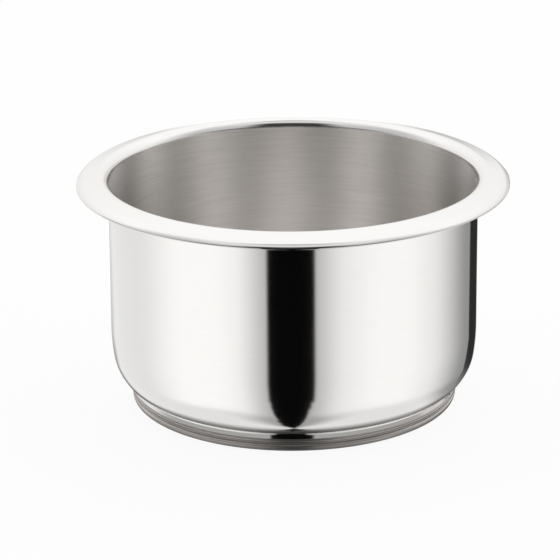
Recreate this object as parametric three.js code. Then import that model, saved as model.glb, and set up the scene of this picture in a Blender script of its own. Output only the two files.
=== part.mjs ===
// Stainless steel cooking pan: a deep-drawn body with a wide out-turned rim over a bonded sandwich base.
// Millimetres, +Z up. The origin is on the axis, at the underside that the pan stands on.
import * as THREE from 'three';

// Body
const overallHeight = 127;
const wallRadius = 100;
const bodySheet = 1;
const drawInRadius = 120;
const drawInAngle = THREE.MathUtils.degToRad(8);
const cornerRadius = 24.6;
const cornerAngle = THREE.MathUtils.degToRad(71);
const floorKnuckleRadius = 9;

// Rim
const rimRadius = 116.8;
const rimSlope = THREE.MathUtils.degToRad(13.5);
const rimBendInsideRadius = 4.5;
const rimRollInsideRadius = 6;
const rimRollEnd = THREE.MathUtils.degToRad(40);
const rimLipInsideRadius = 0.8;
const rimEdgeDrop = 0.4;

// Sandwich base
const coreThickness = 5.5;
const capSheet = 0.5;
const capLedge = 5.5;
const capFootInsideRadius = 2;
const capShoulderInsideRadius = 0.5;
const seatGap = 0.3;

// Counts
const sidesAround = 80;
const stepsPerBend = 7;
const stepsPerSweep = 4;

const quarterTurn = Math.PI / 2;

function pointOn(centre, radius, angle) {
  return centre.clone().add(new THREE.Vector2(Math.cos(angle), Math.sin(angle)).multiplyScalar(radius));
}

// Points of an arc in the radius and height plane; both ends are included.
function arcPoints(centre, radius, fromAngle, toAngle, steps) {
  return Array.from({ length: steps + 1 }, (_, i) =>
    pointOn(centre, radius, THREE.MathUtils.lerp(fromAngle, toAngle, i / steps)));
}

function lathe(name, profile, material) {
  const geometry = new THREE.LatheGeometry(profile, sidesAround);
  geometry.rotateX(quarterTurn);
  const mesh = new THREE.Mesh(geometry, material);
  mesh.name = name;
  return mesh;
}

// The body's outer skin: a flat floor, a knuckle, the corner, a gentle draw-in, then the straight wall. Heights add
// up from the core, and radii are worked inwards from the wall.
const floorUnderside = capSheet + coreThickness;
const knuckleHeight = floorUnderside + floorKnuckleRadius;
const cornerHeight = knuckleHeight + (cornerRadius - floorKnuckleRadius) * Math.sin(cornerAngle);
const drawInHeight = cornerHeight + (drawInRadius - cornerRadius) * Math.sin(drawInAngle);
const drawInCentre = new THREE.Vector2(wallRadius - drawInRadius, drawInHeight);
const cornerCentre = pointOn(drawInCentre, drawInRadius - cornerRadius, -drawInAngle);
const knuckleCentre = pointOn(cornerCentre, cornerRadius - floorKnuckleRadius, -cornerAngle);

// The rim's centre lines: the bend over the mouth, a straight slope, a wide roll, then the tight lip that turns down.
const rimBendRadius = rimBendInsideRadius + bodySheet;
const rimRollRadius = rimRollInsideRadius + bodySheet;
const rimLipRadius = rimLipInsideRadius + bodySheet;
const slopeAngle = quarterTurn - rimSlope;
const bendCentre = new THREE.Vector2(wallRadius + rimBendInsideRadius, overallHeight - rimBendRadius);
const slopeStart = pointOn(bendCentre, rimBendRadius, slopeAngle);
const lipCentreRadius = rimRadius - rimLipRadius;
const rollCentreRadius = lipCentreRadius - (rimRollRadius - rimLipRadius) * Math.cos(rimRollEnd);
const slopeEndRadius = rollCentreRadius + rimRollRadius * Math.cos(slopeAngle);
const slopeEndHeight = slopeStart.y - (slopeEndRadius - slopeStart.x) * Math.tan(rimSlope);
const rollCentre = new THREE.Vector2(rollCentreRadius, slopeEndHeight - rimRollRadius * Math.sin(slopeAngle));
const lipCentre = pointOn(rollCentre, rimRollRadius - rimLipRadius, rimRollEnd);
const rimEdgeHeight = lipCentre.y - rimEdgeDrop;

// One skin of the drawn sheet, from the axis to the rim's edge. The inset is zero for the outside and the rim's
// underside, and the sheet's thickness for the inside and the rim's top face.
function skin(inset) {
  return [
    new THREE.Vector2(0, floorUnderside + inset),
    ...arcPoints(knuckleCentre, floorKnuckleRadius - inset, -quarterTurn, -cornerAngle, stepsPerSweep),
    ...arcPoints(cornerCentre, cornerRadius - inset, -cornerAngle, -drawInAngle, stepsPerBend).slice(1),
    ...arcPoints(drawInCentre, drawInRadius - inset, -drawInAngle, 0, stepsPerSweep).slice(1),
    ...arcPoints(bendCentre, rimBendInsideRadius + inset, Math.PI, slopeAngle, stepsPerBend),
    ...arcPoints(rollCentre, rimRollInsideRadius + inset, slopeAngle, rimRollEnd, stepsPerSweep),
    ...arcPoints(lipCentre, rimLipInsideRadius + inset, rimRollEnd, 0, stepsPerSweep).slice(1),
    new THREE.Vector2(lipCentreRadius + rimLipInsideRadius + inset, rimEdgeHeight),
  ];
}

function panBody() {
  const steel = new THREE.MeshStandardMaterial({ color: 0xd2d2d0, roughness: 0.08, metalness: 1 });
  return lathe('pan_body', [...skin(0), ...skin(bodySheet).reverse()], steel);
}

// The cap stands on its foot bend. Its upper edge turns in at the shoulder bend, over the core, and stops just short
// of the body's knuckle, which leaves the flat ledge that shows round the pan's foot.
const capFootRadius = capFootInsideRadius + capSheet;
const capShoulderRadius = capShoulderInsideRadius + capSheet;
const capHeight = floorUnderside + capSheet;
const lipReach = floorKnuckleRadius + seatGap;
const lipInnerRadius = knuckleCentre.x + Math.sqrt(lipReach ** 2 - (knuckleHeight - capHeight) ** 2);
const capRadius = lipInnerRadius + capLedge;

function baseCap() {
  const steel = new THREE.MeshStandardMaterial({ color: 0xbdbbb8, roughness: 0.18, metalness: 1 });
  const footCentre = new THREE.Vector2(capRadius - capFootRadius, capFootRadius);
  const shoulderCentre = new THREE.Vector2(capRadius - capShoulderRadius, capHeight - capShoulderRadius);
  return lathe('base_cap', [
    new THREE.Vector2(0, 0),
    ...arcPoints(footCentre, capFootRadius, -quarterTurn, 0, stepsPerSweep),
    ...arcPoints(shoulderCentre, capShoulderRadius, 0, quarterTurn, stepsPerSweep),
    new THREE.Vector2(lipInnerRadius, capHeight),
    new THREE.Vector2(lipInnerRadius, floorUnderside),
    ...arcPoints(shoulderCentre, capShoulderInsideRadius, quarterTurn, 0, stepsPerSweep),
    ...arcPoints(footCentre, capFootInsideRadius, 0, -quarterTurn, stepsPerSweep),
    new THREE.Vector2(0, capSheet),
  ], steel);
}

// The aluminium disc that spreads the heat, held between the floor and the cap, with its edges rounded like the
// cap's bends so that it drops into the cap.
function coreDisc() {
  const aluminium = new THREE.MeshStandardMaterial({ color: 0xc6c8ca, roughness: 0.45, metalness: 1 });
  const coreRadius = capRadius - capSheet - seatGap;
  const lowerCentre = new THREE.Vector2(coreRadius - capFootRadius, capSheet + capFootRadius);
  const upperCentre = new THREE.Vector2(coreRadius - capShoulderRadius, floorUnderside - capShoulderRadius);
  return lathe('core_disc', [
    new THREE.Vector2(0, capSheet),
    ...arcPoints(lowerCentre, capFootRadius, -quarterTurn, 0, stepsPerSweep),
    ...arcPoints(upperCentre, capShoulderRadius, 0, quarterTurn, stepsPerSweep),
    new THREE.Vector2(0, floorUnderside),
  ], aluminium);
}

const pan = new THREE.Group();
pan.add(panBody(), coreDisc(), baseCap());

export default pan;
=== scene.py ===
"""Looks, studio and camera for a stainless steel cooking pan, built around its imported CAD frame."""

import logging
import math
from dataclasses import dataclass
from enum import Enum, IntEnum

import bpy
import numpy as np
from mathutils import Matrix, Vector


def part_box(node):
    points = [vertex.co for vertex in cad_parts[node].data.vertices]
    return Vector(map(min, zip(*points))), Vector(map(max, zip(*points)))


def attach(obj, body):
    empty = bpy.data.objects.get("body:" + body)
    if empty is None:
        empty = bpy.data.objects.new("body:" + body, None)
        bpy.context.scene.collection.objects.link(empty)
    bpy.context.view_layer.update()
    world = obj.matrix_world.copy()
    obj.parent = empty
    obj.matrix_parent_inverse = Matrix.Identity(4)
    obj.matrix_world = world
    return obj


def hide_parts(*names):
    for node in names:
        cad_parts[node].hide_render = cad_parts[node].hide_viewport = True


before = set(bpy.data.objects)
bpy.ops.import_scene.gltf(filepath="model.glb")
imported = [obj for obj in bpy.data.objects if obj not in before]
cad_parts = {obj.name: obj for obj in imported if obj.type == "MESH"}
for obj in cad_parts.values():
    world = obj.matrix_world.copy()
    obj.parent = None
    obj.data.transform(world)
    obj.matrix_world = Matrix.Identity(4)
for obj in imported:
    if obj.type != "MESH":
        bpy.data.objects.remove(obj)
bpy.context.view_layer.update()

log = logging.getLogger("steel_pan")
logging.basicConfig(level=logging.INFO, format="%(name)s: %(message)s")

MM = 0.001
QUARTER_TURN = 90.0
HALF_TURN = 180.0


def linear(hex_colour: str) -> tuple[float, float, float, float]:
    """Turns an sRGB hex colour into linear red, green, blue and alpha.

    Each channel c follows c / 12.92 below 0.04045, and ((c + 0.055) / 1.055) to the power 2.4 above it.

    Args:
        hex_colour: Six hex digits, such as "E0DEDA".

    Returns:
        The linear colour, with alpha 1.
    """
    channels = np.array([int(hex_colour[i : i + 2], 16) for i in (0, 2, 4)]) / 255.0
    values = np.where(channels <= 0.04045, channels / 12.92, ((channels + 0.055) / 1.055) ** 2.4)
    return (*values.tolist(), 1.0)


# Profiles


@dataclass(frozen=True)
class Profile:
    """A line in the radius and height plane, in millimetres, with what a turned surface needs along it.

    Attributes:
        points: Radius and height of each point.
        normals: The way that the surface faces at each point, of length 1.
        finishes: The index of the material between each point and the next.
        polish: From 0, satin, to 1, polished, at each point.
    """

    points: np.ndarray
    normals: np.ndarray
    finishes: np.ndarray
    polish: np.ndarray

    def turned_over(self) -> "Profile":
        """Gives the same line with its other side bare."""
        return Profile(self.points, -self.normals, self.finishes, self.polish)

    def backwards(self) -> "Profile":
        """Gives the same line from end to start. A finish belongs to a step, so they move by one point."""
        finishes = np.concatenate([self.finishes[-2::-1], self.finishes[:1]])
        return Profile(self.points[::-1], self.normals[::-1], finishes, self.polish[::-1])


class Facing(Enum):
    """Which side of an arc is bare: its outside, away from the centre, or its inside."""

    OUT = 1.0
    IN = -1.0


def arc(centre: tuple[float, float], radius: float, start: float, end: float, steps: int, facing: Facing,
        finish: int = 0, polish: tuple[float, float] = (1.0, 1.0)) -> Profile:
    """Gives an arc: centre plus radius times (cosine, sine) of an angle that goes evenly from start to end.

    Args:
        centre: Radius and height of the arc's centre.
        radius: The arc's radius.
        start: First angle in degrees, from the radius axis towards the height axis.
        end: Last angle in degrees.
        steps: How many equal steps the arc is cut into.
        facing: The bare side of the arc.
        finish: The material's index along the arc.
        polish: The polish at the arc's start and end.

    Returns:
        The arc's points, with exact normals along its radii.
    """
    angles = np.radians(np.linspace(start, end, steps + 1))
    spokes = np.stack([np.cos(angles), np.sin(angles)], axis=1)
    return Profile(
        np.array(centre) + radius * spokes,
        facing.value * spokes,
        np.full(steps + 1, finish),
        np.linspace(*polish, steps + 1),
    )


def straight(start: tuple[float, float], end: tuple[float, float], steps: int, finish: int = 0,
             polish: tuple[float, float] = (1.0, 1.0)) -> Profile:
    """Gives a straight run; its normal is its direction turned a quarter turn clockwise.

    Args:
        start: Radius and height of the first point.
        end: Radius and height of the last point.
        steps: How many equal steps the run is cut into.
        finish: The material's index along the run.
        polish: The polish at the run's start and end.

    Returns:
        The run's points and normals.
    """
    share = np.linspace(0.0, 1.0, steps + 1)[:, None]
    run = np.array(end) - np.array(start)
    normal = np.array([run[1], -run[0]]) / np.hypot(*run)
    return Profile(
        np.array(start) + share * run,
        np.repeat(normal[None, :], steps + 1, axis=0),
        np.full(steps + 1, finish),
        np.linspace(*polish, steps + 1),
    )


def chain(*parts: Profile) -> Profile:
    """Joins profiles end to end. Where two meet in one point, the earlier one's point and normal are kept.

    Args:
        parts: Profiles in order; between two that don't meet there is a straight step.

    Returns:
        One profile.
    """
    keep = [slice(None)] + [
        slice(1, None) if np.allclose(before.points[-1], after.points[0]) else slice(None)
        for before, after in zip(parts, parts[1:])
    ]
    return Profile(*(
        np.concatenate([getattr(part, name)[cut] for part, cut in zip(parts, keep)])
        for name in ("points", "normals", "finishes", "polish")
    ))


def turned(name: str, profile: Profile, sides: int) -> bpy.types.Object:
    """Makes a closed turned surface: the profile carried round the axis.

    A point at radius r and height z goes to (r sin a, -r cos a, z) for each angle a. The profile starts and
    ends on the axis, where a fan of triangles closes the surface on one vertex. Each vertex carries the
    profile's exact normal, its distance along the profile as "lay", and its polish as "polish".

    Args:
        name: The object's name.
        profile: The line to turn, with the bare side on its right as it runs.
        sides: How many sides the turned surface has.

    Returns:
        The object, in metres, at the origin.
    """
    rings = len(profile.points) - 2
    around = np.linspace(0.0, 2.0 * math.pi, sides, endpoint=False)
    sweep = np.stack([np.sin(around), -np.cos(around)], axis=1)

    def carried(line: np.ndarray) -> np.ndarray:
        """Carries the radius and height pairs of every ring round the axis."""
        flat = line[1:-1, 0][:, None, None] * sweep[None]
        high = np.broadcast_to(line[1:-1, 1][:, None, None], (rings, sides, 1))
        return np.concatenate([flat, high], axis=2).reshape(-1, 3)

    def with_poles(line: np.ndarray) -> np.ndarray:
        """Adds the two points on the axis after the carried rings."""
        poles = [[0.0, 0.0, line[0, 1]], [0.0, 0.0, line[-1, 1]]]
        return np.concatenate([carried(line), poles])

    ring, side = np.meshgrid(np.arange(rings - 1), np.arange(sides), indexing="ij")
    here, beside = ring * sides + side, ring * sides + (side + 1) % sides
    quads = np.stack([here, beside, beside + sides, here + sides], axis=2).reshape(-1, 4)
    step, turn = np.arange(sides), (np.arange(sides) + 1) % sides
    first, last = rings * sides, rings * sides + 1
    start_fan = np.stack([np.full(sides, first), turn, step], axis=1)
    end_fan = np.stack([np.full(sides, last), (rings - 1) * sides + step, (rings - 1) * sides + turn], axis=1)

    mesh = bpy.data.meshes.new(name)
    mesh.from_pydata((with_poles(profile.points) * MM).tolist(), [],
                     quads.tolist() + start_fan.tolist() + end_fan.tolist())
    finishes = np.concatenate([
        np.repeat(profile.finishes[1:-2], sides), np.full(sides, profile.finishes[0]),
        np.full(sides, profile.finishes[-2]),
    ])
    mesh.polygons.foreach_set("material_index", finishes.astype(np.int32))
    mesh.polygons.foreach_set("use_smooth", np.ones(len(mesh.polygons), bool))
    lengths = np.hypot(*np.diff(profile.points, axis=0).T)
    lay = np.concatenate([[0.0], np.cumsum(lengths)]) * MM
    for label, values in (("lay", lay), ("polish", profile.polish)):
        everywhere = np.concatenate([np.repeat(values[1:-1], sides), values[[0, -1]]]).astype(np.float32)
        mesh.attributes.new(label, "FLOAT", "POINT").data.foreach_set("value", everywhere)
    mesh.update()
    mesh.normals_split_custom_set_from_vertices(with_poles(profile.normals).tolist())
    piece = bpy.data.objects.new(name, mesh)
    bpy.context.scene.collection.objects.link(piece)
    return piece


# Finishes


def add_node(tree: bpy.types.NodeTree, kind: str, links: dict | None = None,
             **settings: object) -> bpy.types.Node:
    """Adds one node with its settings and what goes into its sockets.

    Args:
        tree: The node tree.
        kind: The node's type, such as "ShaderNodeMath".
        links: Socket names or numbers, each with another node's output socket or a plain value.
        settings: Properties of the node.

    Returns:
        The node.
    """
    node = tree.nodes.new(kind)
    for name, value in settings.items():
        setattr(node, name, value)
    for name, value in (links or {}).items():
        if isinstance(value, bpy.types.NodeSocket):
            tree.links.new(value, node.inputs[name])
        else:
            node.inputs[name].default_value = value
    return node


@dataclass(frozen=True)
class TurnedLines:
    """Fine lines that run round the pan's axis, as a polishing mop, belt or lathe leaves them.

    The pattern is noise in three numbers: the direction from the axis times the cells around, and the
    distance along the profile over the spacing. So a line keeps its height, has no seam, and fades after part
    of a turn. Real lines are some hundredths of a millimetre apart, which no pixel shows, so they are drawn
    coarser.

    Attributes:
        spacing: Distance between lines, in millimetres.
        cells_around: How many times the noise changes along one radian of a turn.
        depth: Depth of a line, in millimetres.
    """

    spacing: float
    cells_around: float
    depth: float

    def height(self, tree: bpy.types.NodeTree) -> bpy.types.NodeSocket:
        """Adds the nodes of the pattern.

        Args:
            tree: The material's node tree.

        Returns:
            The noise, from 0 to 1.
        """
        place = add_node(tree, "ShaderNodeTexCoord")
        flat = add_node(tree, "ShaderNodeVectorMath", {0: place.outputs["Object"], 1: (1.0, 1.0, 0.0)},
                        operation="MULTIPLY")
        spoke = add_node(tree, "ShaderNodeVectorMath", {0: flat.outputs[0]}, operation="NORMALIZE")
        spread = add_node(tree, "ShaderNodeVectorMath",
                          {0: spoke.outputs[0], 1: (self.cells_around, self.cells_around, 0.0)},
                          operation="MULTIPLY")
        lay = add_node(tree, "ShaderNodeAttribute", attribute_name="lay")
        rows = add_node(tree, "ShaderNodeMath", {0: lay.outputs["Fac"], 1: self.spacing * MM},
                        operation="DIVIDE")
        lift = add_node(tree, "ShaderNodeCombineXYZ", {"Z": rows.outputs[0]})
        where = add_node(tree, "ShaderNodeVectorMath", {0: spread.outputs[0], 1: lift.outputs[0]},
                         operation="ADD")
        noise = add_node(tree, "ShaderNodeTexNoise",
                         {"Vector": where.outputs[0], "Scale": 1.0, "Detail": 2.0, "Roughness": 0.55})
        return noise.outputs["Fac"]


# What the noises are stretched from: the lines' noise is seldom outside the first pair, and the lines' noise
# times the patches' noise is seldom outside the second.
LINE_RANGE = (0.3, 0.7)
WEAR_RANGE = (-0.05, 0.55)

# A highlight is drawn out along the tangent, which runs round the axis. A quarter of a turn from that draws
# it out across the lines.
ACROSS_THE_LINES = 0.25


@dataclass(frozen=True)
class SheetFinish:
    """Sheet metal with one way of being finished.

    Attributes:
        name: The material's name.
        colour: Colour of the metal, as sRGB hex.
        roughness: Lowest and highest roughness over the surface, where it is polished.
        satin_roughness: The roughness where the polish attribute is 0.
        anisotropy: How far a highlight is drawn out across the lines.
        lines: The fine lines of the finish.
        cloud: Size in millimetres of the soft patches where the mop pressed harder.
        ripple: Depth in millimetres of the sheet's slight unevenness.
        ripple_size: Size in millimetres of that unevenness.
        streaks: How far the colour darkens in the deeper lines, from 0 to 1.
        painted_bands: How many upright bands of painted reflection there are in a turn: the studio's lights,
            drawn out up the satin wall, painted into the colour.
        painted_band_depth: How far the colour darkens between those painted bands, from 0 to 1.
        painted_band_start: Distances from the axis, in millimetres, between which the painted bands come in.
    """

    name: str
    colour: str
    roughness: tuple[float, float]
    satin_roughness: float
    anisotropy: float
    lines: TurnedLines
    cloud: float
    ripple: float
    ripple_size: float
    streaks: float = 0.04
    painted_bands: int = 0
    painted_band_depth: float = 0.0
    painted_band_start: tuple[float, float] = (75.0, 95.0)

    def painted_reflection_bands(self, tree: bpy.types.NodeTree, clouds: bpy.types.NodeSocket,
              place: bpy.types.NodeSocket) -> bpy.types.NodeSocket:
        """Adds the upright bands of painted reflection: the studio's lights, drawn out up the satin wall,
        painted into the colour as pale and dark bands. They run out over the corner, so that the floor has none.

        The factor is 1 - depth x (1 - cosine of (bands x angle round the axis + patches)) / 2 on the wall.

        Args:
            tree: The material's node tree.
            clouds: Noise of the soft patches, from 0 to 1, which makes the bands a little uneven.
            place: Object coordinates.

        Returns:
            The factor, from 1 - depth to 1.
        """
        parts = add_node(tree, "ShaderNodeSeparateXYZ", {0: place})
        angle = add_node(tree, "ShaderNodeMath", {0: parts.outputs["X"], 1: parts.outputs["Y"]},
                         operation="ARCTAN2")
        phase = add_node(tree, "ShaderNodeMath", {0: angle.outputs[0], 1: float(self.painted_bands), 2: clouds},
                         operation="MULTIPLY_ADD")
        wave = add_node(tree, "ShaderNodeMath", {0: phase.outputs[0]}, operation="COSINE")
        flat = add_node(tree, "ShaderNodeVectorMath", {0: place, 1: (1.0, 1.0, 0.0)}, operation="MULTIPLY")
        away = add_node(tree, "ShaderNodeVectorMath", {0: flat.outputs[0]}, operation="LENGTH")
        between = add_node(tree, "ShaderNodeMapRange", {
            "Value": away.outputs["Value"], "From Min": self.painted_band_start[0] * MM,
            "From Max": self.painted_band_start[1] * MM, "To Min": 1.0, "To Max": 1.0 - self.painted_band_depth})
        return add_node(tree, "ShaderNodeMapRange", {
            "Value": wave.outputs[0], "From Min": -1.0, "From Max": 1.0, "To Min": between.outputs[0],
            "To Max": 1.0}).outputs[0]

    def tint(self, tree: bpy.types.NodeTree, lines: bpy.types.NodeSocket, clouds: bpy.types.NodeSocket,
             place: bpy.types.NodeSocket) -> bpy.types.NodeSocket:
        """Adds the colour: the metal's own, darkened in the lines and, as painted reflection, between the bands
        of sheen.

        Args:
            tree: The material's node tree.
            lines: Noise of the fine lines, from 0 to 1.
            clouds: Noise of the soft patches, from 0 to 1.
            place: Object coordinates.

        Returns:
            The colour.
        """
        share = add_node(tree, "ShaderNodeMapRange", {
            "Value": lines, "From Min": LINE_RANGE[0], "From Max": LINE_RANGE[1],
            "To Min": 1.0 - self.streaks, "To Max": 1.0}).outputs[0]
        # Painted reflection: the colour darkens between upright bands that stand for the studio's lights.
        if self.painted_bands:
            share = add_node(tree, "ShaderNodeMath", {0: share, 1: self.painted_reflection_bands(tree, clouds, place)},
                             operation="MULTIPLY").outputs[0]
        return add_node(tree, "ShaderNodeVectorMath", {0: linear(self.colour)[:3], 1: share},
                        operation="MULTIPLY").outputs[0]

    def material(self) -> bpy.types.Material:
        """Makes the material.

        The polished roughness goes from its lowest to its highest with the lines times the patches, and gives
        way to the satin roughness as the polish attribute falls to 0. The sheet's unevenness and the lines
        are both bumps.

        Returns:
            The material.
        """
        steel = bpy.data.materials.new(self.name)
        steel.use_nodes = True
        tree = steel.node_tree
        tree.nodes.clear()
        place = add_node(tree, "ShaderNodeTexCoord").outputs["Object"]
        lines = self.lines.height(tree)
        clouds = add_node(tree, "ShaderNodeTexNoise", {
            "Vector": place, "Scale": 1.0 / (self.cloud * MM), "Detail": 3.0}).outputs["Fac"]
        worn = add_node(tree, "ShaderNodeMath", {0: clouds, 1: lines}, operation="MULTIPLY")
        rough = add_node(tree, "ShaderNodeMapRange", {
            "Value": worn.outputs[0], "From Min": WEAR_RANGE[0], "From Max": WEAR_RANGE[1],
            "To Min": self.roughness[0], "To Max": self.roughness[1]})
        polish = add_node(tree, "ShaderNodeAttribute", attribute_name="polish")
        blend = add_node(tree, "ShaderNodeMix", {
            "Factor": polish.outputs["Fac"], "A": self.satin_roughness, "B": rough.outputs["Result"]})
        tangent = add_node(tree, "ShaderNodeTangent", direction_type="RADIAL", axis="Z")
        ripples = add_node(tree, "ShaderNodeTexNoise", {
            "Vector": place, "Scale": 1.0 / (self.ripple_size * MM), "Detail": 1.0})
        uneven = add_node(tree, "ShaderNodeBump", {
            "Height": ripples.outputs["Fac"], "Strength": 1.0, "Distance": self.ripple * MM})
        relief = add_node(tree, "ShaderNodeBump", {
            "Height": lines, "Strength": 1.0, "Distance": self.lines.depth * MM, "Normal": uneven.outputs[0]})
        shader = add_node(tree, "ShaderNodeBsdfPrincipled", {
            "Base Color": self.tint(tree, lines, clouds, place), "Metallic": 1.0,
            "Roughness": blend.outputs["Result"], "Normal": relief.outputs[0],
            "Anisotropic": self.anisotropy, "Anisotropic Rotation": ACROSS_THE_LINES,
            "Tangent": tangent.outputs[0]})
        add_node(tree, "ShaderNodeOutputMaterial", {"Surface": shader.outputs[0]})
        return steel


# Deep-drawn stainless sheet, mirror polished with a mop while it spins: sharp dark and white reflections,
# whose edges are very slightly ragged from the mop's lines.
POLISHED_OUTSIDE = SheetFinish(
    name="stainless_mirror_polished", colour="E1E0DE", roughness=(0.05, 0.09), satin_roughness=0.3,
    anisotropy=0.0, lines=TurnedLines(spacing=1.2, cells_around=6.0, depth=0.0006), cloud=40.0, ripple=0.0008,
    ripple_size=9.0, streaks=0.015)

# The same sheet brushed round with a fine belt inside: a soft grey sheen drawn out up and down the wall, with
# faint lines that run round. Its pale and dark upright bands are painted reflection: the studio's lights painted
# into the colour.
# Its colour is set paler than the same steel outside: painted brightening that stands in for light the deep
# inside lacks.
SATIN_INSIDE = SheetFinish(
    name="stainless_satin_brushed", colour="FDFAF7", roughness=(0.2, 0.28), satin_roughness=0.42,
    anisotropy=0.85, lines=TurnedLines(spacing=1.1, cells_around=3.0, depth=0.006), cloud=30.0, ripple=0.002,
    ripple_size=14.0, streaks=0.09, painted_bands=14, painted_band_depth=0.27)

# Pressed magnetic stainless of the base cap, less polished than the wall and turned in rings underneath: a
# duller, slightly warm grey with visible rings. The grey is darker than the wall's partly for the duller steel
# and partly as painted shade, for the shaded floor close round the foot that its side mirrors.
TURNED_BASE = SheetFinish(
    name="stainless_turned_base", colour="C2BDB9", roughness=(0.3, 0.4), satin_roughness=0.4,
    anisotropy=0.3, lines=TurnedLines(spacing=1.6, cells_around=2.5, depth=0.004), cloud=25.0, ripple=0.001,
    ripple_size=8.0, streaks=0.35)

# Rolled aluminium of the sealed core, a pale and even matt grey, which no view shows.
ROLLED_CORE = SheetFinish(
    name="aluminium_rolled", colour="D9DBDD", roughness=(0.35, 0.5), satin_roughness=0.5,
    anisotropy=0.0, lines=TurnedLines(spacing=1.5, cells_around=4.0, depth=0.002), cloud=20.0, ripple=0.001,
    ripple_size=12.0)


# The pan

# Steps along the profiles: many where a bend mirrors the studio, and few where little turns or nothing shows.
FINE_STEPS = 24
MIDDLE_STEPS = 12
COARSE_STEPS = 8
SATIN_EDGE_STEPS = 6
RIM_BEND_STEPS = 22
RIM_SLOPE_STEPS = 3
RIM_EDGE_STEPS = 4
UNDERSIDE_STEPS = 10
GROOVE_STEPS = 6
LIP_STEPS = 4
HIDDEN_STEPS = 5
ONE_STEP = 1


class BodyFinish(IntEnum):
    """The order of the body's materials."""

    POLISHED = 0
    SATIN = 1


class CapFinish(IntEnum):
    """The order of the base cap's materials."""

    TURNED = 0
    POLISHED = 1


@dataclass(frozen=True)
class SandwichBase:
    """The bonded base: an aluminium disc under the body, closed in by a pressed steel cap. Millimetres."""

    core_thickness: float = 5.5
    cap_sheet: float = 0.5
    ledge: float = 5.5
    foot_inside_radius: float = 2.0
    shoulder_inside_radius: float = 0.5
    seat_gap: float = 0.3
    sides: int = 256

    @property
    def floor_underside(self) -> float:
        """Height of the body's underside."""
        return self.cap_sheet + self.core_thickness

    @property
    def cap_height(self) -> float:
        """Height of the cap's side, over the core and one more sheet."""
        return self.floor_underside + self.cap_sheet


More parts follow.
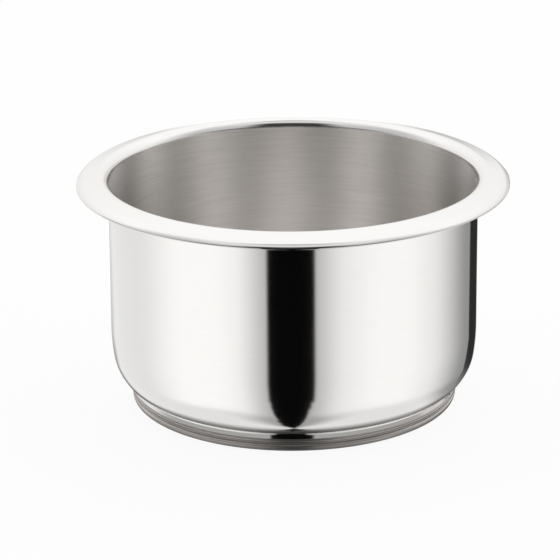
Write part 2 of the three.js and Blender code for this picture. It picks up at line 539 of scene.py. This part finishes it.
@dataclass(frozen=True)
class DrawnBody:
    """The deep-drawn body with its out-turned rim: one steel sheet. Millimetres and degrees."""

    base: SandwichBase
    overall_height: float = 127.0
    wall_radius: float = 100.0
    sheet: float = 1.0
    draw_in_radius: float = 120.0
    draw_in_angle: float = 8.0
    corner_radius: float = 24.6
    corner_angle: float = 71.0
    knuckle_radius: float = 9.0
    rim_radius: float = 116.8
    rim_slope: float = 13.5
    rim_bend_inside_radius: float = 4.5
    rim_roll_inside_radius: float = 6.0
    rim_roll_end: float = 40.0
    rim_lip_inside_radius: float = 0.8
    rim_edge_drop: float = 0.4
    rim_edge_rounding: float = 0.3
    satin_end: float = 169.0
    sides: int = 288

    def stacked(self) -> dict[str, tuple[float, float]]:
        """Works out the arc centres, upwards from the base and inwards from the wall, as in the solid.

        One arc runs smoothly into the next where both centres lie on one line with the point where they meet.
        So each centre lies off the one before by the difference of their radii, at the angle where they meet.

        Returns:
            The centres of the draw-in, corner and knuckle, and of the rim's bend, roll and lip, as radius and
            height.
        """
        def beyond(centre: tuple[float, float], radius: float, angle: float) -> tuple[float, float]:
            """The point at a radius and an angle from a centre."""
            turn = math.radians(angle)
            return centre[0] + radius * math.cos(turn), centre[1] + radius * math.sin(turn)

        knuckle_height = self.base.floor_underside + self.knuckle_radius
        corner_height = knuckle_height + (self.corner_radius - self.knuckle_radius) * math.sin(
            math.radians(self.corner_angle))
        draw_in_height = corner_height + (self.draw_in_radius - self.corner_radius) * math.sin(
            math.radians(self.draw_in_angle))
        draw_in = (self.wall_radius - self.draw_in_radius, draw_in_height)
        corner = beyond(draw_in, self.draw_in_radius - self.corner_radius, -self.draw_in_angle)
        knuckle = beyond(corner, self.corner_radius - self.knuckle_radius, -self.corner_angle)
        bend_radius = self.rim_bend_inside_radius + self.sheet
        roll_radius = self.rim_roll_inside_radius + self.sheet
        spread = self.rim_roll_inside_radius - self.rim_lip_inside_radius
        bend = (self.wall_radius + self.rim_bend_inside_radius, self.overall_height - bend_radius)
        slope_start = beyond(bend, bend_radius, QUARTER_TURN - self.rim_slope)
        lip_centre_radius = self.rim_radius - self.rim_lip_inside_radius - self.sheet
        roll_centre_radius = lip_centre_radius - spread * math.cos(math.radians(self.rim_roll_end))
        over = beyond((roll_centre_radius, 0.0), roll_radius, QUARTER_TURN - self.rim_slope)
        fall = math.tan(math.radians(self.rim_slope))
        slope_end_height = slope_start[1] - (over[0] - slope_start[0]) * fall
        roll = (roll_centre_radius, slope_end_height - over[1])
        lip = beyond(roll, spread, self.rim_roll_end)
        return {
            "draw_in": draw_in, "corner": corner, "knuckle": knuckle,
            "bend": bend, "roll": roll, "lip": lip,
        }

    def skin(self, inset: float, inside: bool) -> Profile:
        """Gives one skin of the sheet, from the axis to the rim's edge.

        Args:
            inset: Zero for the outside and the rim's underside, or the sheet's thickness for the other side.
            inside: Whether this is the inside, which is satin up to the rim's bend.

        Returns:
            The skin's profile.
        """
        at = self.stacked()
        convex, hollow = (Facing.IN, Facing.OUT) if inside else (Facing.OUT, Facing.IN)
        look = (BodyFinish.SATIN, (0.0, 0.0)) if inside else (BodyFinish.POLISHED, (1.0, 1.0))
        slope = QUARTER_TURN - self.rim_slope
        knuckle = arc(at["knuckle"], self.knuckle_radius - inset, -QUARTER_TURN, -self.corner_angle,
                      COARSE_STEPS, convex, *look)
        corner = arc(at["corner"], self.corner_radius - inset, -self.corner_angle, -self.draw_in_angle,
                     FINE_STEPS, convex, *look)
        draw_in = arc(at["draw_in"], self.draw_in_radius - inset, -self.draw_in_angle, 0.0,
                      COARSE_STEPS, convex, *look)
        bend = arc(at["bend"], self.rim_bend_inside_radius + inset, HALF_TURN, slope, FINE_STEPS, hollow)
        roll = arc(at["roll"], self.rim_roll_inside_radius + inset, slope, self.rim_roll_end,
                   MIDDLE_STEPS, hollow)
        lip = arc(at["lip"], self.rim_lip_inside_radius + inset, self.rim_roll_end, 0.0, COARSE_STEPS, hollow)
        middle = (0.0, self.base.floor_underside + inset)
        floor = straight(middle, tuple(knuckle.points[0]), COARSE_STEPS, *look)
        wall = straight(tuple(draw_in.points[-1]), tuple(bend.points[0]), COARSE_STEPS, *look)
        rim = straight(tuple(bend.points[-1]), tuple(roll.points[0]), RIM_SLOPE_STEPS)
        edge = (at["lip"][0] + self.rim_lip_inside_radius + inset, at["lip"][1] - self.rim_edge_drop)
        drop = straight(tuple(lip.points[-1]), (edge[0], edge[1] + self.rim_edge_rounding), ONE_STEP)
        if inside:
            floor, wall, rim, drop = (run.turned_over() for run in (floor, wall, rim, drop))
            bend = self.inner_bend(at["bend"], slope)
        return chain(floor, knuckle, corner, draw_in, wall, bend, rim, roll, lip, drop)

    def inner_bend(self, centre: tuple[float, float], slope: float) -> Profile:
        """Gives the rim bend's upper side, where the satin of the inside runs out into the polished rim.

        Args:
            centre: Radius and height of the bend's centre.
            slope: The angle at which the rim's slope begins.

        Returns:
            The bend's profile.
        """
        radius = self.rim_bend_inside_radius + self.sheet
        return chain(
            arc(centre, radius, HALF_TURN, self.satin_end, SATIN_EDGE_STEPS, Facing.OUT,
                BodyFinish.SATIN, (0.0, 1.0)),
            arc(centre, radius, self.satin_end, slope, RIM_BEND_STEPS, Facing.OUT),
        )

    def rim_edge(self) -> Profile:
        """Gives the rim's cut edge, with its two corners rounded by a deburring wheel."""
        at = self.stacked()
        rounding = self.rim_edge_rounding
        bottom = at["lip"][1] - self.rim_edge_drop
        inner = at["lip"][0] + self.rim_lip_inside_radius
        outer = inner + self.sheet
        return chain(
            arc((inner + rounding, bottom + rounding), rounding, HALF_TURN, HALF_TURN + QUARTER_TURN,
                RIM_EDGE_STEPS, Facing.OUT),
            arc((outer - rounding, bottom + rounding), rounding, -QUARTER_TURN, 0.0,
                RIM_EDGE_STEPS, Facing.OUT),
        )

    def build(self) -> bpy.types.Object:
        """Builds the body as one closed sheet: its outside, the rim's edge, and back down its inside."""
        outside = self.skin(0.0, inside=False)
        inside = self.skin(self.sheet, inside=True)
        return turned("drawn_body", chain(outside, self.rim_edge(), inside.backwards()), self.sides)

    def dress(self, piece: bpy.types.Object) -> None:
        """Gives the body its two finishes, in the order of BodyFinish."""
        for finish in (POLISHED_OUTSIDE, SATIN_INSIDE):
            piece.data.materials.append(finish.material())


@dataclass(frozen=True)
class BaseCap:
    """The pressed cap that the pan stands on. Millimetres and degrees.

    Attributes:
        base: The sandwich base that the cap closes in.
        body: The body over it.
        bead_radius: Radius of the bead at the top of the cap's side.
        bead_span: Angles at which the bead starts and ends.
        groove_drop: How far the press line lies under the bead's centre, in bead radii.
        groove_half_height: Half the press line's height.
        groove_depth: The press line's depth.
        lip_tilt: How far the lip's face looks up.
    """

    base: SandwichBase
    body: DrawnBody
    bead_radius: float = 0.6
    bead_span: tuple[float, float] = (-60.0, 75.0)
    groove_drop: float = 1.5
    groove_half_height: float = 0.26
    groove_depth: float = 0.2
    lip_tilt: float = 6.0

    @property
    def radius(self) -> float:
        """Radius of the side: a ledge's width beyond where the solid's lip stops short of the knuckle."""
        knuckle = self.body.stacked()["knuckle"]
        reach = self.body.knuckle_radius + self.base.seat_gap
        return knuckle[0] + math.sqrt(reach**2 - (knuckle[1] - self.base.cap_height) ** 2) + self.base.ledge

    def build(self) -> bpy.types.Object:
        """Builds the cap as one closed sheet: underside, foot bend, press line, bead, lip, and back inside.

        The lip is pressed up against the body's corner, over the solid model's flat ledge.
        """
        base, radius = self.base, self.radius
        foot_radius = base.foot_inside_radius + base.cap_sheet
        shoulder_radius = base.shoulder_inside_radius + base.cap_sheet
        foot = (radius - foot_radius, foot_radius)
        shoulder = (radius - shoulder_radius, base.cap_height - shoulder_radius)
        bead_centre = (radius - self.bead_radius, base.cap_height - self.bead_radius)
        bead = arc(bead_centre, self.bead_radius, *self.bead_span, MIDDLE_STEPS, Facing.OUT)
        lip_foot = tuple(bead.points[-1])
        lip_top = self.lip_end(lip_foot)
        shoulder_inside = arc(shoulder, base.shoulder_inside_radius, self.lip_tilt, 0.0,
                              HIDDEN_STEPS, Facing.IN)
        return turned("base_cap_pressed", chain(
            straight((0.0, 0.0), (foot[0], 0.0), UNDERSIDE_STEPS),
            arc(foot, foot_radius, -QUARTER_TURN, 0.0, MIDDLE_STEPS, Facing.OUT),
            self.groove(radius, bead_centre[1] - self.groove_drop * self.bead_radius),
            bead,
            straight(lip_foot, lip_top, LIP_STEPS, CapFinish.POLISHED),
            straight(lip_top, tuple(shoulder_inside.points[0]), ONE_STEP),
            shoulder_inside,
            arc(foot, base.foot_inside_radius, 0.0, -QUARTER_TURN, HIDDEN_STEPS, Facing.IN),
            straight((foot[0], base.cap_sheet), (0.0, base.cap_sheet), ONE_STEP),
        ), base.sides)

    def groove(self, radius: float, middle: float) -> Profile:
        """Gives the fine line that the press leaves under the bead: a hollow arc cut into the side.

        The arc's radius is (half height squared + depth squared) / (2 x depth).

        Args:
            radius: The side's radius.
            middle: Height of the groove's middle.

        Returns:
            The groove's profile, upwards.
        """
        half, depth = self.groove_half_height, self.groove_depth
        bow = (half**2 + depth**2) / (2.0 * depth)
        reach = math.degrees(math.asin(half / bow))
        return arc((radius + bow - depth, middle), bow, HALF_TURN + reach, HALF_TURN - reach,
                   GROOVE_STEPS, Facing.IN)

    def lip_end(self, start: tuple[float, float]) -> tuple[float, float]:
        """Finds where a line along the lip meets the body's corner.

        With d the way along the lip and o the start seen from the corner's centre, the distance along the
        line is -(o . d) - root((o . d) squared - o squared + the corner's radius squared).

        Args:
            start: Where the lip begins, on its outer face.

        Returns:
            Radius and height of the end.
        """
        tilt = math.radians(self.lip_tilt)
        along = np.array([-math.sin(tilt), math.cos(tilt)])
        offset = np.array(start) - np.array(self.body.stacked()["corner"])
        ahead = offset @ along
        length = -ahead - math.sqrt(ahead**2 - offset @ offset + self.body.corner_radius**2)
        end = np.array(start) + length * along
        return float(end[0]), float(end[1])

    def dress(self, piece: bpy.types.Object) -> None:
        """Gives the cap its dull side and underside, and the lip its polish, in the order of CapFinish."""
        for finish in (TURNED_BASE, POLISHED_OUTSIDE):
            piece.data.materials.append(finish.material())


# Studio

# Soft edges that lie past straight down and past the zenith, so that a card has no edge there.
NO_LOW_EDGE = (-130.0, 4.0)
NO_HIGH_EDGE = (130.0, 4.0)

# Brightness of a black card.
BLACK = 0.003


@dataclass(frozen=True)
class Card:
    """A lit or dark card round the pan, as the light sees it from the pan. Angles in degrees.

    Attributes:
        level: Brightness, where 1 is the white background.
        across: Azimuth of its middle, from the camera's side towards the right, then half its width, and the
            width of its soft upright edges.
        low: Elevation of its lower edge, and the height of that soft edge.
        high: Elevation of its upper edge, and the height of that soft edge.
    """

    level: float
    across: tuple[float, float, float]
    low: tuple[float, float]
    high: tuple[float, float]


# Two wide soft boxes, low at either side, which the wall mirrors as its white halves.
SIDE_BOXES = (
    Card(1.28, (-62.0, 30.0, 44.0), (-40.0, 16.0), (0.0, 10.0)),
    Card(1.25, (64.0, 28.0, 44.0), (-40.0, 16.0), (0.0, 10.0)),
)

# The dim end of the room behind the pan: it greys the wall and the corner towards their right and left edge.
DIM_BACK = (
    Card(0.36, (150.0, 33.0, 44.0), (-41.0, 14.0), (2.0, 24.0)),
    Card(0.28, (-169.0, 12.0, 16.0), (-55.0, 24.0), (-20.0, 10.0)),
    Card(0.25, (180.0, 25.0, 40.0), NO_LOW_EDGE, (-50.0, 20.0)),
)

# The dim table in front: it greys the corner above the foot, and the wall on both sides of the dark band.
DIM_FRONT = (
    Card(0.40, (-1.5, 35.0, 50.0), NO_LOW_EDGE, (-50.0, 24.0)),
    Card(0.50, (-2.0, 20.0, 30.0), NO_LOW_EDGE, (-8.0, 10.0)),
)

# The ceiling and the wall over the camera. They keep the rim's roll from burning out, make the satin inside
# grey, and draw the dark line under the far rim, which is darkest in its middle.
DIM_ABOVE = (
    Card(0.70, (0.0, 75.0, 40.0), (70.0, 20.0), NO_HIGH_EDGE),
    Card(0.72, (-6.0, 92.0, 40.0), (2.0, 8.0), (62.0, 50.0)),
    Card(0.24, (0.0, 60.0, 40.0), (-4.0, 6.0), (22.0, 10.0)),
    Card(0.06, (0.0, 28.0, 24.0), (-4.0, 8.0), (54.0, 16.0)),
)

# A dark flag behind at the right, with a lit gap beside it: the dark strip along the wall's right edge, and
# the fine bright line outside it.
EDGE_FLAG = (
    Card(0.03, (155.5, 12.5, 2.0), (-29.0, 14.0), (-8.0, 6.0)),
    Card(1.35, (180.0, 11.0, 8.0), (-20.0, 3.0), (-7.0, 8.0)),
)

# What the base cap's lip mirrors: grey in front, and paler round to the right.
HORIZON = (
    Card(0.48, (-5.0, 110.0, 24.0), (-15.0, 2.0), (1.0, 4.0)),
    Card(0.85, (138.0, 22.0, 16.0), (-17.0, 1.0), (2.0, 4.0)),
)

# The tall black flag in front, which the wall mirrors as its dark band. Its foot narrows and leans to the
# left, so that the band ends in a rounded tip on the corner.
DARK_BAND = (
    Card(BLACK, (-1.6, 14.7, 2.6), (-32.0, 2.0), (6.0, 12.0)),
    Card(BLACK, (-2.0, 13.4, 2.4), (-36.0, 2.0), (-30.0, 2.0)),
    Card(BLACK, (-2.4, 12.1, 2.0), NO_LOW_EDGE, (-34.0, 2.0)),
    Card(BLACK, (-3.8, 13.5, 2.0), NO_LOW_EDGE, (-62.0, 8.0)),
    Card(BLACK, (-5.6, 16.0, 4.0), NO_LOW_EDGE, (-74.0, 6.0)),
)

# The flag's stand, below and behind: it sharpens the band's tip and gives it its low dark wings.
DARK_BAND_FOOT = (
    Card(BLACK, (180.0, 18.0, 6.0), NO_LOW_EDGE, (-79.0, 6.0)),
    Card(BLACK, (181.5, 1.5, 2.0), (-84.0, 4.0), (-58.0, 4.0)),
    Card(BLACK, (182.0, 4.0, 3.0), (-60.0, 8.0), (-28.0, 10.0)),
)


@dataclass(frozen=True)
class Studio:
    """White room with cards: what the steel mirrors, and the pale floor that the pan stands on.

    Attributes:
        room: Level of the room just above the table's edge, and overhead.
        room_rise: Elevations between which the room rises from the one to the other.
        table: Level of the lit table, which the outside of the pan mirrors.
        table_edge: Elevations between which the table gives way to the room.
        cards: The cards, each laid over those before it.
        painted_contact_shade: Distances from the axis, in metres, between which the table comes out of the pan's
            painted shade, which only mirror rays see.
        painted_shade_level: Share of the light that is left in that painted shade.
        floor_half_width: Half the floor's width, in metres.
        floor_gap: How far the floor lies under the base, in millimetres, so that the two don't flicker.
        floor_colour: Colour of the floor paper.
        floor_glow: Share of the floor's white that its shadow leaves.
    """

    room: tuple[float, float] = (0.95, 1.27)
    room_rise: tuple[float, float] = (-12.0, 40.0)
    table: float = 1.0
    table_edge: tuple[float, float] = (-19.5, -12.0)
    cards: tuple[Card, ...] = (
        *SIDE_BOXES, *DIM_BACK, *DIM_FRONT, *DIM_ABOVE, *EDGE_FLAG, *HORIZON, *DARK_BAND, *DARK_BAND_FOOT)
    painted_contact_shade: tuple[float, float] = (0.089, 0.097)
    painted_shade_level: float = 0.4
    floor_half_width: float = 8.0
    floor_gap: float = 0.1
    floor_colour: str = "F6F6F5"
    floor_glow: float = 0.92

    def light(self) -> None:
        """Makes the world: white for the camera, and the room with its cards for all that the steel sees.

        A direction's elevation is the arc sine of its height. The level starts as the table's below its edge
        and the room's above it, and each card is then laid over it.
        """
        world = bpy.data.worlds.new("white_studio")
        bpy.context.scene.world = world
        world.use_nodes = True
        tree = world.node_tree
        tree.nodes.clear()
        way = add_node(tree, "ShaderNodeTexCoord").outputs["Generated"]
        parts = add_node(tree, "ShaderNodeSeparateXYZ", {0: way})
        climb = add_node(tree, "ShaderNodeMath", {0: parts.outputs["Z"]}, operation="ARCSINE")
        elevation = add_node(tree, "ShaderNodeMath", {0: climb.outputs[0]}, operation="DEGREES").outputs[0]
        flat = add_node(tree, "ShaderNodeVectorMath", {0: way, 1: (1.0, 1.0, 0.0)}, operation="MULTIPLY")
        heading = add_node(tree, "ShaderNodeVectorMath", {0: flat.outputs[0]},
                           operation="NORMALIZE").outputs[0]
        room = add_node(tree, "ShaderNodeMapRange", {
            "Value": elevation, "From Min": self.room_rise[0], "From Max": self.room_rise[1],
            "To Min": self.room[0], "To Max": self.room[1]}).outputs[0]
        level = add_node(tree, "ShaderNodeMapRange", {
            "Value": elevation, "From Min": self.table_edge[0], "From Max": self.table_edge[1],
            "To Min": self.table, "To Max": room}, interpolation_type="SMOOTHSTEP").outputs[0]
        for card in self.cards:
            level = self.laid(tree, level, heading, elevation, card)
        path = add_node(tree, "ShaderNodeLightPath")
        seen = add_node(tree, "ShaderNodeMix", {
            "Factor": path.outputs["Is Camera Ray"], "A": level, "B": 1.0})
        back = add_node(tree, "ShaderNodeBackground", {"Color": seen.outputs["Result"], "Strength": 1.0})
        add_node(tree, "ShaderNodeOutputWorld", {"Surface": back.outputs[0]})

    def laid(self, tree: bpy.types.NodeTree, level: bpy.types.NodeSocket, heading: bpy.types.NodeSocket,
             elevation: bpy.types.NodeSocket, card: Card) -> bpy.types.NodeSocket:
        """Lays one card over the room: inside its edges the level is the card's, and outside it stays.

        The angle from the card's middle is the arc cosine of (heading . the card's heading).

        Args:
            tree: The world's node tree.
            level: Brightness so far.
            heading: Direction on the floor plan, of length 1.
            elevation: Elevation of the direction, in degrees.
            card: The card.

        Returns:
            The brightness with the card.
        """
        azimuth, half_width, side_fade = card.across
        turn = math.radians(azimuth)
        middle = (math.sin(turn), -math.cos(turn), 0.0)
        along = add_node(tree, "ShaderNodeVectorMath", {0: heading, 1: middle}, operation="DOT_PRODUCT")
        away = add_node(tree, "ShaderNodeMath", {0: along.outputs["Value"]}, operation="ARCCOSINE")
        aside = add_node(tree, "ShaderNodeMath", {0: away.outputs[0]}, operation="DEGREES").outputs[0]
        mask = None
        for value, (edge, fade), (before, after) in (
                (aside, (half_width, side_fade), (1.0, 0.0)),
                (elevation, card.low, (0.0, 1.0)),
                (elevation, card.high, (1.0, 0.0))):
            step = add_node(tree, "ShaderNodeMapRange", {
                "Value": value, "From Min": edge - fade / 2.0, "From Max": edge + fade / 2.0,
                "To Min": before, "To Max": after}, interpolation_type="SMOOTHSTEP").outputs[0]
            mask = step if mask is None else add_node(tree, "ShaderNodeMath", {0: mask, 1: step},
                                                      operation="MULTIPLY").outputs[0]
        return add_node(tree, "ShaderNodeMix", {
            "Factor": mask, "A": level, "B": card.level}).outputs["Result"]

    def floor(self) -> bpy.types.Object:
        """For the camera it is nearly white with the pan's soft shadow. For mirror rays it is clear, so that the
        steel shows the room below the horizon, with a painted shadow that darkens it close round the foot. From
        below it is open.

        Returns:
            The floor.
        """
        half = self.floor_half_width
        down = -self.floor_gap * MM
        mesh = bpy.data.meshes.new("studio_floor")
        corners = [(-half, -half, down), (half, -half, down), (half, half, down), (-half, half, down)]
        mesh.from_pydata(corners, [], [(0, 1, 2, 3)])
        paper = bpy.data.materials.new("white_studio_paper")
        paper.use_nodes = True
        tree = paper.node_tree
        tree.nodes.clear()
        path = add_node(tree, "ShaderNodeLightPath")
        matt = add_node(tree, "ShaderNodeBsdfDiffuse", {"Color": linear(self.floor_colour)})
        white = add_node(tree, "ShaderNodeEmission", {"Color": (1.0, 1.0, 1.0, 1.0), "Strength": 1.0})
        glow = add_node(tree, "ShaderNodeMath", {0: path.outputs["Is Camera Ray"], 1: self.floor_glow},
                        operation="MULTIPLY")
        seen = add_node(tree, "ShaderNodeMixShader", {
            0: glow.outputs[0], 1: matt.outputs[0], 2: white.outputs[0]})
        place = add_node(tree, "ShaderNodeTexCoord")
        away = add_node(tree, "ShaderNodeVectorMath", {0: place.outputs["Object"]}, operation="LENGTH")
        # Painted shadow round the foot, which only mirror rays see: close to the axis the floor lets less of the
        # room through.
        shade = add_node(tree, "ShaderNodeMapRange", {
            "Value": away.outputs["Value"], "From Min": self.painted_contact_shade[0], "From Max": self.painted_contact_shade[1],
            "To Min": self.painted_shade_level, "To Max": 1.0}, interpolation_type="SMOOTHSTEP")
        clear = add_node(tree, "ShaderNodeBsdfTransparent", {"Color": shade.outputs[0]})
        shown = add_node(tree, "ShaderNodeMixShader", {
            0: path.outputs["Is Glossy Ray"], 1: seen.outputs[0], 2: clear.outputs[0]})
        underside = add_node(tree, "ShaderNodeNewGeometry").outputs["Backfacing"]
        nothing = add_node(tree, "ShaderNodeBsdfTransparent")
        faced = add_node(tree, "ShaderNodeMixShader", {
            0: underside, 1: shown.outputs[0], 2: nothing.outputs[0]})
        add_node(tree, "ShaderNodeOutputMaterial", {"Surface": faced.outputs[0]})
        mesh.materials.append(paper)
        floor = bpy.data.objects.new("studio_floor", mesh)
        bpy.context.scene.collection.objects.link(floor)
        return floor


@dataclass(frozen=True)
class PhotoCamera:
    """The photograph's camera, aimed so that the rim's centre falls where the photograph has it.

    Attributes:
        distance: From the middle of the mouth to the camera, in metres.
        elevation: Height of the camera above the mouth, in degrees.
        tilt: How far the camera looks below the middle of the mouth, in degrees.
        swing: How far it looks to the left of it, in degrees.
        roll: Its lean, in degrees.
        lens: Focal length for a sensor 36 mm wide, in millimetres.
    """

    distance: float = 1.6
    elevation: float = 17.18
    tilt: float = 2.1056
    swing: float = 0.2601
    roll: float = -0.3697
    lens: float = 190.855

    def build(self, mouth_height: float) -> bpy.types.Object:
        """Makes the camera and hands it to the scene.

        Args:
            mouth_height: Height of the pan's mouth, in metres.

        Returns:
            The camera.
        """
        rise = math.radians(self.elevation)
        back = Vector((0.0, -math.cos(rise), math.sin(rise)))
        data = bpy.data.cameras.new("photo_camera")
        data.sensor_width = 36.0
        data.lens = self.lens
        data.clip_end = 100.0
        camera = bpy.data.objects.new("photo_camera", data)
        bpy.context.scene.collection.objects.link(camera)
        facing = (-back).to_track_quat("-Z", "Y").to_matrix()
        turn = (Matrix.Rotation(math.radians(-self.tilt), 3, "X")
                @ Matrix.Rotation(math.radians(self.swing), 3, "Y")
                @ Matrix.Rotation(math.radians(self.roll), 3, "Z"))
        place = Vector((0.0, 0.0, mouth_height)) + back * self.distance
        camera.matrix_world = Matrix.Translation(place) @ (facing @ turn).to_4x4()
        bpy.context.scene.camera = camera
        return camera


def main() -> None:
    """Builds and dresses the pan, then its studio and camera."""
    base = SandwichBase()
    body = DrawnBody(base)
    cap = BaseCap(base, body)
    for maker, node, slot in ((body, "pan_body", "polished_steel"), (cap, "base_cap", "base_steel")):
        piece = maker.build()
        maker.dress(piece)
        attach(piece, "root")
        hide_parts(node)
        low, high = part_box(node)
        log.info("%s: %d faces, for %s, which is %.1f mm wide and reaches %.1f mm", piece.name,
                 len(piece.data.polygons), node, (high.x - low.x) / MM, high.z / MM)
    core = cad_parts["core_disc"]
    core.data.materials.clear()
    core.data.materials.append(ROLLED_CORE.material())
    log.info("core_disc: kept, sealed in under the floor")
    studio = Studio()
    studio.light()
    studio.floor()
    PhotoCamera().build(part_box("pan_body")[1].z)
    bpy.context.scene.view_settings.view_transform = "Standard"


if __name__ == "__main__":
    main()
